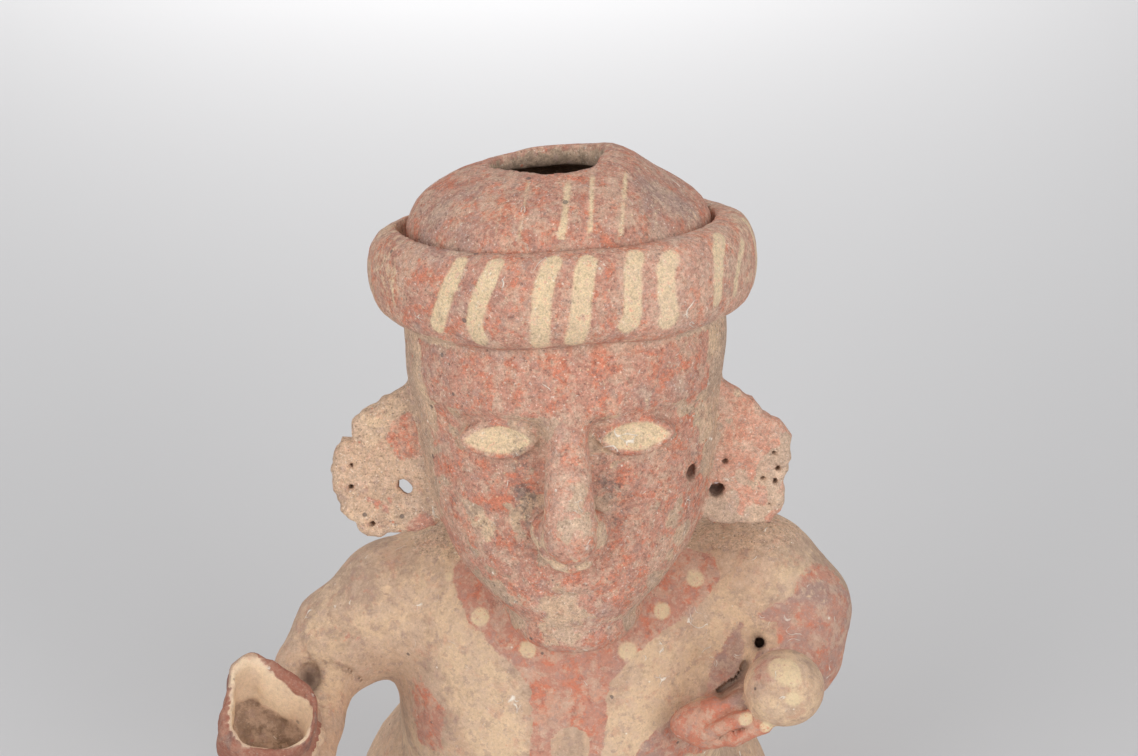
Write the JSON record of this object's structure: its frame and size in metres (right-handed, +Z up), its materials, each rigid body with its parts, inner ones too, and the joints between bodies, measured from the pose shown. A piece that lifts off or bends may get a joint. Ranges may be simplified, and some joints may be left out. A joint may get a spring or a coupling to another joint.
{
  "type": "pre-columbian pottery figure",
  "caption": "Hollow standing clay figure in a cap and rolled headband, with pierced ear ornaments, holding a cup and a round gourd; vent in the cap.",
  "frame": {"origin": "middle of the figure's bounding box, on the plane of its two soles", "axes": "+Z up along the standing figure, which faces -Y; its own right hand, with the cup, is on -X"},
  "size_m": [0.1994, 0.1436, 0.3519],
  "materials": {
    "slip_painted_clay": "matt low-fired clay with worn red, cream and buff slip"
  },
  "bodies": {
    "root": {"pottery_figure": "slip_painted_clay"}
  },
  "joints": []
}
